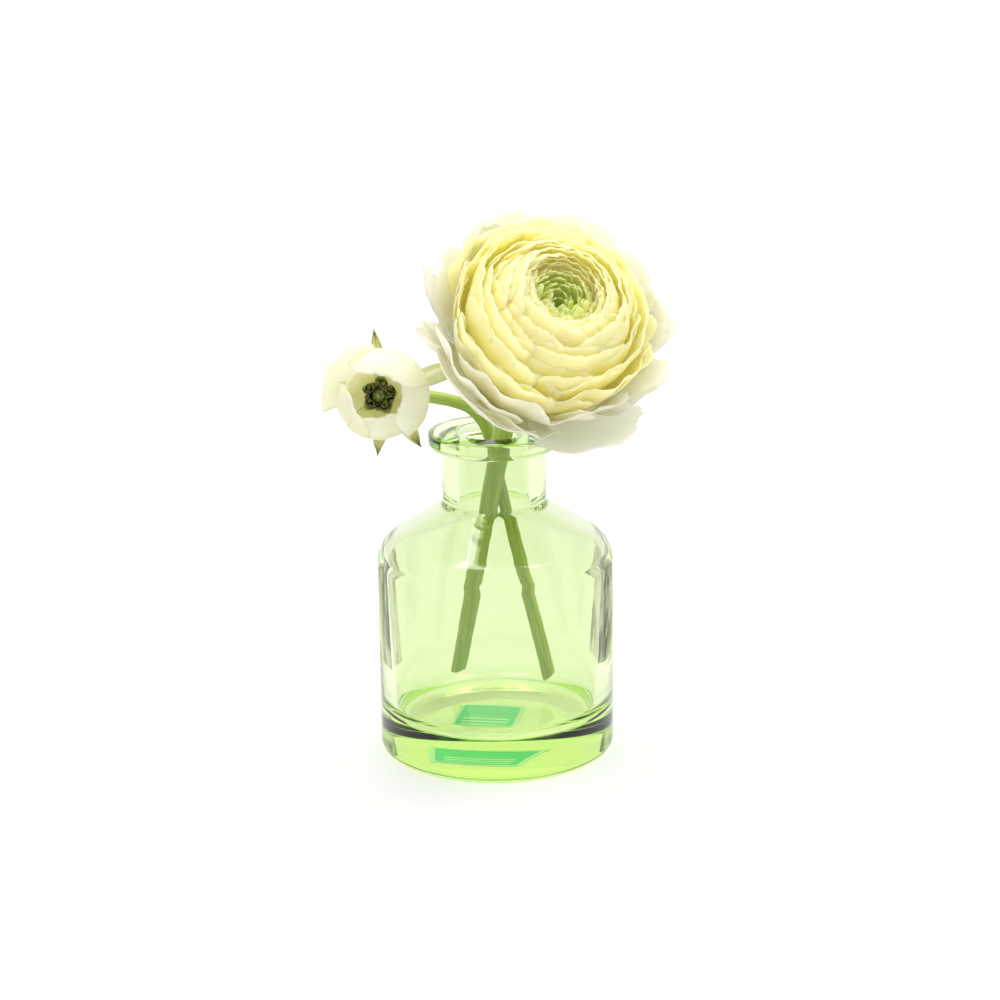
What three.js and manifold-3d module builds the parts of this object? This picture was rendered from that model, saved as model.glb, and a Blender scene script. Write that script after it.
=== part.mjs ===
// A short-necked green glass bottle used as a dry bud vase. Two cut ranunculus stems stand in it: a full
// ivory bloom that leans out over the rim, and a half-open bud on a stem that arches over to the left.
// Millimetres, +Z up. The origin is the middle of the bottle's flat foot.
import * as THREE from "three";
import { mergeVertices } from "three/addons/utils/BufferGeometryUtils.js";
import Module from "manifold-3d";

// ---- Driving dimensions -------------------------------------------------------------------------
const GAP = 0.3; // left between pieces that touch
const ROUND_STEPS = 36; // facets round the bottle

const BODY_R = 35;
const FOOT_CORNER_R = 3.8;
const SHOULDER_R = 10.2; // rounding where the wall turns into the shoulder
const SHOULDER_Z = 58.3; // where that rounding starts
const NECK_R = 15.3;
const NECK_Z = 76.4; // where the shoulder meets the neck
const LIP_R = 19.2;
const LIP_Z = 93; // underside of the lip
const TOP_Z = 98;
const BORE_R = 10.4;
const WALL = 5; // glass round the body
const SHOULDER_WALL = 3.2; // glass over the shoulder
const INNER_CORNER_R = 6; // rounding inside, where the wall meets the shoulder
const FLOOR_Z = 12; // the thick glass foot
const FLOOR_R = 20; // flat part of the inner floor
const HEEL_H = 10; // how far the rounded inner heel climbs the wall

const LABEL = { side: 20, thick: 0.2, pocket: 0.5, turn: -0.2, at: [-3, 1.5] };

const BLOOM_STEM_R = 2.9;
const BUD_STEM_R = 1.95;
const PETAL_T = 0.5;
const SEPAL_T = 0.6;

const glassMaterial = new THREE.MeshStandardMaterial({
  color: 0x9bd45c, roughness: 0.03, metalness: 0, transparent: true, opacity: 0.4,
});
const labelMaterial = new THREE.MeshStandardMaterial({ color: 0x6fcf8a, roughness: 0.5, metalness: 0 });
const stemMaterial = new THREE.MeshStandardMaterial({ color: 0x8fb54a, roughness: 0.45, metalness: 0 });
const petalMaterial = new THREE.MeshStandardMaterial({ color: 0xf6f1c4, roughness: 0.5, metalness: 0 });
const sepalMaterial = new THREE.MeshStandardMaterial({ color: 0xb4b06a, roughness: 0.6, metalness: 0 });
const heartMaterial = new THREE.MeshStandardMaterial({ color: 0xa9c94a, roughness: 0.5, metalness: 0 });

const wasm = await Module();
wasm.setup();

// ---- Helpers ------------------------------------------------------------------------------------
function solidOf(geometry) {
  const bare = geometry.index ? geometry.toNonIndexed() : geometry.clone();
  bare.deleteAttribute("normal");
  bare.deleteAttribute("uv");
  const merged = mergeVertices(bare, 1e-4);
  return new wasm.Manifold(
    new wasm.Mesh({
      numProp: 3,
      vertProperties: merged.attributes.position.array,
      triVerts: new Uint32Array(merged.index.array),
    }),
  );
}

function geometryOf(solid) {
  const mesh = solid.getMesh();
  return new THREE.BufferGeometry()
    .setAttribute("position", new THREE.BufferAttribute(new Float32Array(mesh.vertProperties), 3))
    .setIndex(new THREE.BufferAttribute(new Uint32Array(mesh.triVerts), 1));
}

function named(name, geometry, material) {
  const mesh = new THREE.Mesh(geometry, material);
  mesh.name = name;
  return mesh;
}

// Points on an arc of radius r about (x, z), from one angle to another, in degrees.
function arc(x, z, r, from, to, steps, rz = r) {
  return Array.from({ length: steps + 1 }, (_, i) => {
    const a = THREE.MathUtils.degToRad(from + ((to - from) * i) / steps);
    return new THREE.Vector2(x + r * Math.cos(a), z + rz * Math.sin(a));
  });
}

// A profile of (radius, height) turned round the Z axis.
function turned(profile, steps) {
  return new THREE.LatheGeometry(profile, steps).rotateX(Math.PI / 2);
}

function rod(path, radius, sides, steps) {
  const section = new THREE.Shape(
    Array.from({ length: sides }, (_, i) => {
      const a = (i / sides) * 2 * Math.PI;
      return new THREE.Vector2(radius * Math.cos(a), radius * Math.sin(a));
    }),
  );
  return new THREE.ExtrudeGeometry(section, { steps, extrudePath: path, bevelEnabled: false });
}

function smoothPath(points) {
  return new THREE.CatmullRomCurve3(points.map((p) => new THREE.Vector3(...p)), false, "centripetal");
}

// A group whose +Z is the flower's axis and whose +X stays as near level as it can.
function flowerFrame(at, axis) {
  const z = new THREE.Vector3(...axis).normalize();
  const x = new THREE.Vector3(1, 0, 0).projectOnPlane(z).normalize();
  const y = new THREE.Vector3().crossVectors(z, x);
  const frame = new THREE.Group();
  frame.quaternion.setFromRotationMatrix(new THREE.Matrix4().makeBasis(x, y, z));
  frame.position.set(...at);
  return frame;
}

// A petal or sepal: a thin patch of the cup that a curved profile sweeps round the flower's axis.
// profile holds four Bezier points of (radius, height); tipCut rounds the tip and taper narrows it.
function petal({ profile, azimuth, half, tipCut = 0.16, taper = 0, thick = PETAL_T, along = 6, across = 5 }) {
  const curve = new THREE.CubicBezierCurve(...profile.map(([r, z]) => new THREE.Vector2(r, z)));
  const position = [];
  for (const side of [1, -1]) {
    for (let i = 0; i <= along; i++) {
      for (let j = 0; j <= across; j++) {
        const v = (2 * j) / across - 1;
        const u = (i / along) * (1 - tipCut * Math.abs(v) ** 3);
        const p = curve.getPoint(u);
        const t = curve.getTangent(u);
        const r = p.x + (side * thick * t.y) / 2;
        const z = p.y - (side * thick * t.x) / 2;
        const a = THREE.MathUtils.degToRad(azimuth + half * v * (1 - taper * u * u));
        position.push(r * Math.cos(a), r * Math.sin(a), z);
      }
    }
  }
  const row = across + 1;
  const layer = row * (along + 1);
  const index = [];
  const quad = (a, b, c, d) => index.push(a, b, c, a, c, d);
  for (let i = 0; i < along; i++) {
    for (let j = 0; j < across; j++) {
      const a = i * row + j;
      quad(a, a + 1, a + 1 + row, a + row);
      quad(layer + a, layer + a + row, layer + a + 1 + row, layer + a + 1);
    }
  }
  for (let j = 0; j < across; j++) {
    const top = along * row + j;
    quad(j, layer + j, layer + j + 1, j + 1);
    quad(top, top + 1, layer + top + 1, layer + top);
  }
  for (let i = 0; i < along; i++) {
    const left = i * row;
    const right = left + across;
    quad(left, left + row, layer + left + row, layer + left);
    quad(right, layer + right, layer + right + row, right + row);
  }
  return new THREE.BufferGeometry()
    .setAttribute("position", new THREE.Float32BufferAttribute(position, 3))
    .setIndex(index);
}

// ---- Vase ---------------------------------------------------------------------------------------
// The shoulder is a straight cone, tangent to its corner arc, that ends at the neck.
const cornerX = BODY_R - SHOULDER_R;
const toNeck = new THREE.Vector2(NECK_R - cornerX, NECK_Z - SHOULDER_Z);
const coneAngle = THREE.MathUtils.radToDeg(toNeck.angle() - Math.acos(SHOULDER_R / toNeck.length()));
const coneSlope = Math.tan(THREE.MathUtils.degToRad(90 - coneAngle));
const INNER_R = BODY_R - WALL;
// The inner face of the shoulder lies parallel to the outer cone. It meets the bore at boreFootZ.
const coneTurn = THREE.MathUtils.degToRad(coneAngle);
const shoulderIn = {
  r: NECK_R - SHOULDER_WALL * Math.cos(coneTurn),
  z: NECK_Z - SHOULDER_WALL * Math.sin(coneTurn),
};
const boreFootZ = shoulderIn.z + (shoulderIn.r - BORE_R) * coneSlope;
const innerCornerX = INNER_R - INNER_CORNER_R;
const innerCornerTopR = innerCornerX + INNER_CORNER_R * Math.cos(coneTurn);
const innerCornerTopZ = shoulderIn.z - (innerCornerTopR - shoulderIn.r) * coneSlope;
const innerCornerZ = innerCornerTopZ - INNER_CORNER_R * Math.sin(coneTurn);

function bottle() {
  const outer = [
    new THREE.Vector2(0, 0),
    ...arc(BODY_R - FOOT_CORNER_R, FOOT_CORNER_R, FOOT_CORNER_R, -90, 0, 4),
    ...arc(cornerX, SHOULDER_Z, SHOULDER_R, 0, coneAngle, 5),
    new THREE.Vector2(NECK_R + 1, NECK_Z - coneSlope),
    new THREE.Vector2(NECK_R + 0.3, NECK_Z + 0.2),
    new THREE.Vector2(NECK_R, NECK_Z + 1.2),
    new THREE.Vector2(NECK_R, LIP_Z - 0.6),
    new THREE.Vector2(NECK_R + 0.6, LIP_Z),
    ...arc(LIP_R - 2.2, LIP_Z + 2.2, 2.2, -90, 0, 3),
    ...arc(LIP_R - 0.8, TOP_Z - 0.8, 0.8, 0, 90, 2),
  ];
  const inner = [
    ...arc(BORE_R + 0.8, TOP_Z - 0.8, 0.8, 90, 180, 2),
    new THREE.Vector2(BORE_R, boreFootZ + 0.6),
    new THREE.Vector2(BORE_R + 0.9, boreFootZ - 0.4),
    ...arc(innerCornerX, innerCornerZ, INNER_CORNER_R, coneAngle, 0, 4),
    ...arc(FLOOR_R, FLOOR_Z + HEEL_H, INNER_R - FLOOR_R, 0, -90, 5, HEEL_H),
    new THREE.Vector2(0, FLOOR_Z),
  ];
  const glass = solidOf(turned([...outer, ...inner], ROUND_STEPS));
  const opening = LABEL.side + 2 * GAP;
  const pocket = new THREE.BoxGeometry(opening, opening, 2 * LABEL.pocket)
    .rotateZ(LABEL.turn)
    .translate(...LABEL.at, 0);
  return geometryOf(glass.subtract(solidOf(pocket)));
}

function label() {
  return new THREE.BoxGeometry(LABEL.side, LABEL.side, LABEL.thick)
    .rotateZ(LABEL.turn)
    .translate(...LABEL.at, LABEL.thick / 2);
}

// ---- Stems --------------------------------------------------------------------------------------
const BLOOM_AT = [10.9, -6.5, 121.6];
const BLOOM_AXIS = [0.283, -0.674, 0.683];
const BUD_AT = [-32.4, -4.3, 110.6];
const BUD_AXIS = [-0.02, -0.985, 0.17];

// A point that lies behind a flower, on its axis.
function behind(at, axis, distance) {
  const back = new THREE.Vector3(...axis).normalize().multiplyScalar(-distance);
  return new THREE.Vector3(...at).add(back).toArray();
}

const bloomStemPoints = [
  [-12.3, 20.3, 17.2], [-9.5, 16.3, 32], [-5.4, 9.9, 55], [-1.4, 4.2, 76], [0.4, 1.6, 85.5],
  [2.8, -1.4, 97.6],
  [4.8, 0.6, 105.5], [6.7, 1.2, 111], behind(BLOOM_AT, BLOOM_AXIS, 8.6),
];
const budStemPoints = [
  [16.6, 12.1, 16.8], [13.1, 11, 32], [7.7, 9.3, 55], [2.7, 7.8, 76.5], [0.1, 7.3, 88], [-2.2, 6.7, 97.5],
  [-6.6, 5.4, 103.4], [-12.6, 4.4, 106], [-19, 4.2, 107.4], [-26, 4.6, 108.8], [-31, 3.4, 110],
  behind(BUD_AT, BUD_AXIS, 3.2),
];

// ---- Bloom --------------------------------------------------------------------------------------
// Whorls from the green heart out to the guard petals. Each cup lies clear inside the next.
const WHORLS = [
  { name: "heart", count: 3, start: 20, half: 52, profile: [[2, 8], [5.5, 11], [6.5, 23], [3.6, 27]] },
  { name: "inner_a", count: 4, start: 65, half: 42, profile: [[3, 6.5], [11.5, 8.5], [13, 28], [7, 33.5]] },
  { name: "inner_b", count: 4, start: 20, half: 42, profile: [[4, 5], [16.5, 5.5], [17.5, 31], [10.5, 36]] },
  { name: "ball", count: 4, start: 65, half: 42, profile: [[5, 3.5], [20.5, 3], [21.5, 31], [15, 35.5]] },
  { name: "middle_a", count: 4, start: 10, half: 42, profile: [[6, 2], [22.5, 0.5], [25, 28], [20.5, 32]] },
  { name: "middle_b", count: 4, start: 55, half: 42, profile: [[7, 0.5], [23.5, -2], [28, 23], [26, 27.5]] },
  { name: "outer", count: 5, start: 40, half: 34, profile: [[8, -1], [24, -4.5], [30, 15], [31, 22]] },
];
// The guard petals hang as they please, so each has its own reach. down, left, top and right name
// the side of the flower as it faces the viewer.
const GUARDS = [
  { side: "right", azimuth: 5, half: 33, middle: [32, 9], tip: [36.5, 21] },
  { side: "top", azimuth: 77, half: 34, middle: [32, 10], tip: [36.5, 22] },
  { side: "left", azimuth: 152, half: 33, middle: [32, 9], tip: [36.5, 21] },
  { side: "down", azimuth: 221, half: 33, middle: [30, 4], tip: [35, 18] },
  { side: "hanging", azimuth: 293, half: 33, middle: [31, 3], tip: [38, 13] },
];
const BLOOM_SEPALS = { count: 5, start: 66, profile: [[7.2, -5], [9.5, -7.4], [11.5, -8.2], [13, -10.5]] };

function bloomReceptacle() {
  const dome = [[0, -7.2], [3.1, -7.2], [4.6, -6.2], [7, -3.8], [1, 7.2], [0, 7.6]];
  return turned(dome.map(([r, z]) => new THREE.Vector2(r, z)), 16);
}

// The knot of young carpels at the bottom of the heart.
function bloomPistil() {
  const knob = [[0, 8], [0.9, 8.2], [1.6, 11], [2.4, 15], [2.3, 18], [1.4, 20.2], [0, 21]];
  return turned(knob.map(([r, z]) => new THREE.Vector2(r, z)), 10);
}

function bloom() {
  const flower = flowerFrame(BLOOM_AT, BLOOM_AXIS);
  flower.add(named("bloom_receptacle", bloomReceptacle(), stemMaterial));
  flower.add(named("bloom_pistil", bloomPistil(), heartMaterial));
  for (const { name, count, start, half, profile } of WHORLS) {
    const material = name === "heart" ? heartMaterial : petalMaterial;
    for (let i = 0; i < count; i++) {
      const geometry = petal({ profile, azimuth: start + (360 / count) * i, half });
      flower.add(named(`bloom_petal_${name}_${i + 1}`, geometry, material));
    }
  }
  for (const { side, azimuth, half, middle, tip } of GUARDS) {
    const geometry = petal({ profile: [[9, -2.5], [22, -6.5], middle, tip], azimuth, half });
    flower.add(named(`bloom_petal_guard_${side}`, geometry, petalMaterial));
  }
  for (let i = 0; i < BLOOM_SEPALS.count; i++) {
    const azimuth = BLOOM_SEPALS.start + (360 / BLOOM_SEPALS.count) * i;
    const shape = { profile: BLOOM_SEPALS.profile, azimuth, half: 28, taper: 0.85, tipCut: 0.1 };
    const geometry = petal({ ...shape, thick: SEPAL_T, along: 4, across: 4 });
    flower.add(named(`bloom_sepal_${i + 1}`, geometry, sepalMaterial));
  }
  return flower;
}

// ---- Bud ----------------------------------------------------------------------------------------
const BUD_PETALS = [
  { side: "top", azimuth: 78, half: 33, profile: [[3, 0.6], [16, 0], [17, 16], [10, 20]] },
  { side: "right", azimuth: 6, half: 33, profile: [[3, 0.6], [17, 0], [18, 16], [9, 19.5]] },
  { side: "low_right", azimuth: 294, half: 33, profile: [[3, 0.6], [15, 0], [15.5, 16], [9.5, 19.5]] },
  { side: "low_left", azimuth: 222, half: 33, profile: [[3, 0.6], [14, 0], [15, 15], [11, 20]] },
  { side: "left", azimuth: 150, half: 33, profile: [[3, 0.6], [14, 0], [16.5, 10], [14.5, 18]] },
];
const BUD_HEART = { count: 3, start: 40, half: 56, profile: [[2, 2], [9.5, 2.6], [11, 13], [6, 16.5]] };
const BUD_SEPALS = [
  { side: "top", azimuth: 93, tip: [17, 3] },
  { side: "right", azimuth: 22, tip: [22.5, 5] },
  { side: "low_right", azimuth: 310, tip: [17.5, 4] },
  { side: "low_left", azimuth: 265, tip: [15.8, 4] },
  { side: "left", azimuth: 170, tip: [15, 1] },
];

function budReceptacle() {
  const dome = [[0, -2.3], [2, -2.3], [2.6, -1.6], [2.3, 0.6], [1.5, 1.4], [0, 1.6]];
  return turned(dome.map(([r, z]) => new THREE.Vector2(r, z)), 12);
}

// The green button of carpels with its dished top.
function budButton() {
  const button = [[0, 2], [1, 2], [1.6, 5], [3.2, 9], [3.6, 11.5], [3.1, 12.8], [2, 12.6], [1.2, 12], [0, 12.6]];
  return turned(button.map(([r, z]) => new THREE.Vector2(r, z)), 12);
}

function bud() {
  const flower = flowerFrame(BUD_AT, BUD_AXIS);
  flower.add(named("bud_receptacle", budReceptacle(), stemMaterial));
  flower.add(named("bud_button", budButton(), heartMaterial));
  for (let i = 0; i < BUD_HEART.count; i++) {
    const { count, start, half, profile } = BUD_HEART;
    const geometry = petal({ profile, azimuth: start + (360 / count) * i, half });
    flower.add(named(`bud_petal_inner_${i + 1}`, geometry, petalMaterial));
  }
  for (const { side, azimuth, half, profile } of BUD_PETALS) {
    flower.add(named(`bud_petal_${side}`, petal({ profile, azimuth, half }), petalMaterial));
  }
  for (const { side, azimuth, tip } of BUD_SEPALS) {
    const profile = [[3.4, -0.6], [9, -1.5], [tip[0] - 3, -1], tip];
    const geometry = petal({ profile, azimuth, half: 20, taper: 0.85, thick: SEPAL_T, along: 4, across: 4 });
    flower.add(named(`bud_sepal_${side}`, geometry, sepalMaterial));
  }
  return flower;
}

// ---- Assembly -----------------------------------------------------------------------------------
const assembly = new THREE.Group();
assembly.add(named("bottle", bottle(), glassMaterial));
assembly.add(named("foot_label", label(), labelMaterial));
assembly.add(named("bloom_stem", rod(smoothPath(bloomStemPoints), BLOOM_STEM_R, 10, 22), stemMaterial));
assembly.add(named("bud_stem", rod(smoothPath(budStemPoints), BUD_STEM_R, 8, 34), stemMaterial));
assembly.add(bloom());
assembly.add(bud());

export default assembly;
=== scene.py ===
# A dry green glass bud vase with a full ivory ranunculus and a half-open bud.
import math
import random

import bpy
from mathutils import Matrix, Vector, noise


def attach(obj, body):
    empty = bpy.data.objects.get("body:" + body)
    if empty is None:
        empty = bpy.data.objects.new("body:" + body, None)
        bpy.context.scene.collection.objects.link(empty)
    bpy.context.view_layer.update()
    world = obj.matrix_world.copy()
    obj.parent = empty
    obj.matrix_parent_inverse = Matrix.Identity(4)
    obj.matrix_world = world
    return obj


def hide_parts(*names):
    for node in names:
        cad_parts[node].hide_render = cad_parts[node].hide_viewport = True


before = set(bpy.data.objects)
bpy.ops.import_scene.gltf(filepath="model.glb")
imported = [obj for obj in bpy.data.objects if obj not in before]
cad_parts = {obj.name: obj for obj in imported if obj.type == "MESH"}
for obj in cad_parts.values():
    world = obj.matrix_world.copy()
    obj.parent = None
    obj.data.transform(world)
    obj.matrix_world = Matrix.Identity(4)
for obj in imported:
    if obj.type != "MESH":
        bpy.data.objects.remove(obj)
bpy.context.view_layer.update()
MM = 0.001
GOLDEN_TURN = 2.399963  # radians from one seed to the next in a seed head


# ---- Small tools ----------------------------------------------------------------------------------
def deselect():
    if bpy.context.object and bpy.context.object.mode != "OBJECT":
        bpy.ops.object.mode_set(mode="OBJECT")
    bpy.ops.object.select_all(action="DESELECT")


def pick(piece):
    deselect()
    piece.select_set(True)
    bpy.context.view_layer.objects.active = piece


def apply_modifier(piece, kind, **settings):
    pick(piece)
    modifier = piece.modifiers.new(kind.title(), kind)
    for key, value in settings.items():
        setattr(modifier, key, value)
    bpy.ops.object.modifier_apply(modifier=modifier.name)


def smooth(piece, angle=None):
    pick(piece)
    if angle is None:
        bpy.ops.object.shade_smooth()
    else:
        bpy.ops.object.shade_smooth_by_angle(angle=math.radians(angle))


def tidy_normals(piece):
    pick(piece)
    bpy.ops.object.mode_set(mode="EDIT")
    bpy.ops.mesh.select_all(action="SELECT")
    bpy.ops.mesh.remove_doubles(threshold=1e-6)
    bpy.ops.mesh.normals_make_consistent(inside=False)
    bpy.ops.object.mode_set(mode="OBJECT")


def joined(pieces, name):
    deselect()
    for piece in pieces:
        piece.select_set(True)
    bpy.context.view_layer.objects.active = pieces[0]
    bpy.ops.object.join()
    pieces[0].name = name
    return pieces[0]


def finished(piece, body, finish, slot, *nodes):
    """Paints a piece, hangs it on its body and hides the CAD nodes it stands for."""
    piece.data.materials.clear()
    piece.data.materials.append(finish)
    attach(piece, body)
    if nodes:
        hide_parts(*nodes)
    return piece


def bezier(points, t):
    a, b, c, d = points
    s = 1 - t
    return tuple(
        s * s * s * p + 3 * s * s * t * q + 3 * s * t * t * r + t * t * t * w
        for p, q, r, w in zip(a, b, c, d)
    )


def bezier_slope(points, t):
    a, b, c, d = points
    s = 1 - t
    return tuple(
        3 * s * s * (q - p) + 6 * s * t * (r - q) + 3 * t * t * (w - r)
        for p, q, r, w in zip(a, b, c, d)
    )


def between(a, b, t):
    return a + (b - a) * t


# ---- Finishes -------------------------------------------------------------------------------------
class Level:
    """A shader value that can be used in a sum."""

    def __init__(self, finish, socket):
        self.finish = finish
        self.socket = socket

    def maths(self, operation, other=None, flipped=False):
        sides = [self] if other is None else [other, self] if flipped else [self, other]
        return self.finish.get("ShaderNodeMath", {"operation": operation}, dict(enumerate(sides)))

    def __add__(self, other):
        return self.maths("ADD", other)

    def __radd__(self, other):
        return self.maths("ADD", other, True)

    def __sub__(self, other):
        return self.maths("SUBTRACT", other)

    def __rsub__(self, other):
        return self.maths("SUBTRACT", other, True)

    def __mul__(self, other):
        return self.maths("MULTIPLY", other)

    def __rmul__(self, other):
        return self.maths("MULTIPLY", other, True)

    def clamped(self):
        return self.maths("MAXIMUM", 0.0).maths("MINIMUM", 1.0)


class Finish:
    """A material under construction."""

    def __init__(self, name):
        self.material = bpy.data.materials.new(name)
        self.material.use_nodes = True
        self.tree = self.material.node_tree
        self.tree.nodes.clear()
        self.output = self.tree.nodes.new("ShaderNodeOutputMaterial")

    def node(self, kind, settings=None, inputs=None):
        made = self.tree.nodes.new(kind)
        for key, value in (settings or {}).items():
            if key == "stops":
                ramp = made.color_ramp
                while len(ramp.elements) < len(value):
                    ramp.elements.new(0.5)
                for element, (position, colour) in zip(ramp.elements, value):
                    element.position = position
                    element.color = (*colour, 1)
            else:
                setattr(made, key, value)
        for key, value in (inputs or {}).items():
            if isinstance(value, Level):
                self.tree.links.new(value.socket, made.inputs[key])
            else:
                made.inputs[key].default_value = value
        return made

    def get(self, kind, settings=None, inputs=None, output=0):
        return Level(self, self.node(kind, settings, inputs).outputs[output])

    def place(self):
        return self.get("ShaderNodeTexCoord", output="Object")

    def spread(self):
        """Where on its own sheet a petal's point lies: across, and along from its base to its rim."""
        flat = self.get("ShaderNodeTexCoord", output="UV")
        split = self.node("ShaderNodeSeparateXYZ", inputs={0: flat})
        return Level(self, split.outputs[0]), Level(self, split.outputs[1])

    def attribute(self, name):
        return self.get("ShaderNodeAttribute", {"attribute_name": name}, output="Fac")

    def vector(self, x, y, z=0.0):
        return self.get("ShaderNodeCombineXYZ", inputs={0: x, 1: y, 2: z})

    def stretched(self, vector, scale):
        return self.get("ShaderNodeMapping", inputs={"Vector": vector, "Scale": scale})

    def noise(self, vector, scale, detail=2.0, roughness=0.5):
        inputs = {"Vector": vector, "Scale": scale, "Detail": detail, "Roughness": roughness}
        return self.get("ShaderNodeTexNoise", inputs=inputs)

    def ranged(self, level, low, high, to_low=0.0, to_high=1.0):
        inputs = {0: level, 1: low, 2: high, 3: to_low, 4: to_high}
        return self.get("ShaderNodeMapRange", {"interpolation_type": "SMOOTHSTEP"}, inputs)

    def ramp(self, level, stops):
        return self.get("ShaderNodeValToRGB", {"stops": stops}, {0: level})

    def blend(self, first, second, amount):
        settings = {"data_type": "RGBA"}
        sides = [c if isinstance(c, Level) else (*c, 1) for c in (first, second)]
        return self.get("ShaderNodeMix", settings, {0: amount, 6: sides[0], 7: sides[1]}, output=2)

    def bump(self, height, strength, distance):
        inputs = {"Height": height, "Strength": strength, "Distance": distance}
        return self.get("ShaderNodeBump", inputs=inputs)

    def close(self, surface, volume=None):
        self.tree.links.new(surface.socket, self.output.inputs["Surface"])
        if volume:
            self.tree.links.new(volume.socket, self.output.inputs["Volume"])
        return self.material


def green_glass_finish():
    f = Finish("green_glass")
    ripple = f.noise(f.stretched(f.place(), (1, 1, 0.45)), 38.0, 1.0)
    glass = f.get("ShaderNodeBsdfPrincipled", inputs={
        "Base Color": (0.846, 0.906, 0.71, 1), "Roughness": 0.0, "IOR": 1.5, "Transmission Weight": 1.0,
        "Normal": f.bump(ripple, 0.3, 0.0002),
    })
    tint = f.get("ShaderNodeVolumeAbsorption", inputs={"Color": (0.76, 0.985, 0.1, 1), "Density": 20.0})
    return f.close(glass, tint)


def label_finish():
    f = Finish("teal_foot_label")
    across, along = f.spread()
    edge = 1 - f.ranged(across, 0.05, 0.06) * f.ranged(1 - across, 0.05, 0.06) * f.ranged(along, 0.05, 0.06) \
        * f.ranged(1 - along, 0.05, 0.06)
    line = f.ranged((along * 50.0).maths("SINE"), 0.1, 0.2) * f.ranged(along, 0.14, 0.15) \
        * f.ranged(0.52 - along, 0.0, 0.01) * f.ranged(across, 0.14, 0.15) * f.ranged(1 - across, 0.14, 0.15)
    pale = (edge + line).clamped()
    worn = f.noise(f.place(), 900.0, 3.0)
    teal = f.blend((0.05, 0.62, 0.38), (0.1, 0.7, 0.47), worn)
    paper = f.get("ShaderNodeBsdfPrincipled", inputs={
        "Base Color": f.blend(teal, (0.55, 0.85, 0.7), pale), "Roughness": 0.5,
        "Normal": f.bump(worn, 0.2, 0.00005),
    })
    return f.close(paper)


def petal_finish(name, stops, vein, through, glow, inner_light=0.0):
    """A thin soft petal, coloured by its own warmth, with fine lines in the vein colour.

    through is the share of light that passes into the glow colour. inner_light is a faint light of the
    petal's own, in place of the light scattered inside a thick flower.
    """
    f = Finish(name)
    across, along = f.spread()
    warmth = f.attribute("warmth")
    cloud = f.noise(f.place(), 90.0, 2.0)
    base = f.ramp((warmth + (cloud - 0.5) * 0.22).clamped(), stops)
    fan = f.vector(across * 46.0, along * 1.6, warmth * 9.0)
    line = f.ranged(f.noise(fan, 1.0, 3.0, 0.6), 0.46, 0.66)
    base = f.blend(base, vein, line * 0.16)
    fleck = f.noise(f.place(), 420.0, 3.0, 0.6)
    base = f.blend(base, (1.0, 1.0, 0.93), f.ranged(fleck, 0.5, 0.72) * 0.35)
    # Whiter band along the rim: partly the paler edge of the petal itself, partly a painted highlight where
    # the thin rim catches the light.
    base = f.blend(base, (1.0, 1.0, 0.93), f.ranged(along, 0.93, 1.0) * 0.6)
    crinkle = f.noise(f.vector(across * 9.0, along * 6.0, warmth * 5.0), 1.0, 3.0, 0.55)
    height = line * 0.35 + crinkle + fleck * 0.5
    front = f.get("ShaderNodeBsdfPrincipled", inputs={
        "Base Color": base,
        "Roughness": f.ranged(cloud, 0.3, 0.7, 0.42, 0.6),
        "Specular IOR Level": 0.35,
        "Sheen Weight": 0.08,
        "Emission Color": base, "Emission Strength": inner_light,
        "Normal": f.bump(height, 0.5, 0.0006),
    })
    lit = f.get("ShaderNodeBsdfTranslucent", inputs={"Color": (*glow, 1)})
    return f.close(f.get("ShaderNodeMixShader", inputs={0: through, 1: front, 2: lit}))


def stem_finish(name, light, dark, pale):
    f = Finish(name)
    across, along = f.spread()
    streak = f.noise(f.vector(across * 14.0, along * 5.0), 1.0, 3.0, 0.6)
    cloud = f.noise(f.place(), 70.0, 2.0)
    base = f.blend(dark, light, f.ranged(streak, 0.3, 0.7))
    base = f.blend(base, pale, f.ranged(cloud, 0.55, 0.8) * 0.5)
    skin = f.get("ShaderNodeBsdfPrincipled", inputs={
        "Base Color": base,
        "Roughness": f.ranged(streak, 0.2, 0.8, 0.34, 0.5),
        "Specular IOR Level": 0.4,
        "Subsurface Weight": 0.25, "Subsurface Radius": (0.6, 1.0, 0.3), "Subsurface Scale": 0.0008,
        "Normal": f.bump(streak, 0.35, 0.0003),
    })
    return f.close(skin)


def sepal_finish():
    f = Finish("papery_sepal")
    across, along = f.spread()
    line = f.noise(f.vector(across * 26.0, along * 2.0), 1.0, 3.0, 0.6)
    cloud = f.noise(f.place(), 260.0, 3.0)
    base = f.ramp((along + (cloud - 0.5) * 0.3).clamped(), [
        (0.0, (0.74, 0.8, 0.48)), (0.5, (0.92, 0.92, 0.7)), (0.78, (0.84, 0.83, 0.46)),
        (0.94, (0.55, 0.5, 0.18)), (1.0, (0.25, 0.2, 0.07)),
    ])
    base = f.blend(base, (0.45, 0.46, 0.14), f.ranged(line, 0.45, 0.7) * 0.35)
    skin = f.get("ShaderNodeBsdfPrincipled", inputs={
        "Base Color": base, "Roughness": 0.6, "Specular IOR Level": 0.3,
        "Normal": f.bump(line, 0.5, 0.0004),
    })
    lit = f.get("ShaderNodeBsdfTranslucent", inputs={"Color": (0.8, 0.82, 0.4, 1)})
    return f.close(f.get("ShaderNodeMixShader", inputs={0: 0.3, 1: skin, 2: lit}))


def carpel_finish(name, light, dark, scale):
    f = Finish(name)
    bead = f.get("ShaderNodeTexVoronoi", inputs={"Vector": f.place(), "Scale": scale})
    cloud = f.noise(f.place(), scale * 0.3, 2.0)
    base = f.blend(light, dark, f.ranged(bead, 0.1, 0.55))
    base = f.blend(base, dark, f.ranged(cloud, 0.4, 0.7) * 0.4)
    skin = f.get("ShaderNodeBsdfPrincipled", inputs={
        "Base Color": base, "Roughness": f.ranged(cloud, 0.2, 0.8, 0.45, 0.65),
        "Specular IOR Level": 0.3,
        "Normal": f.bump(1 - bead, 0.6, 0.0004),
    })
    return f.close(skin)


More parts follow.
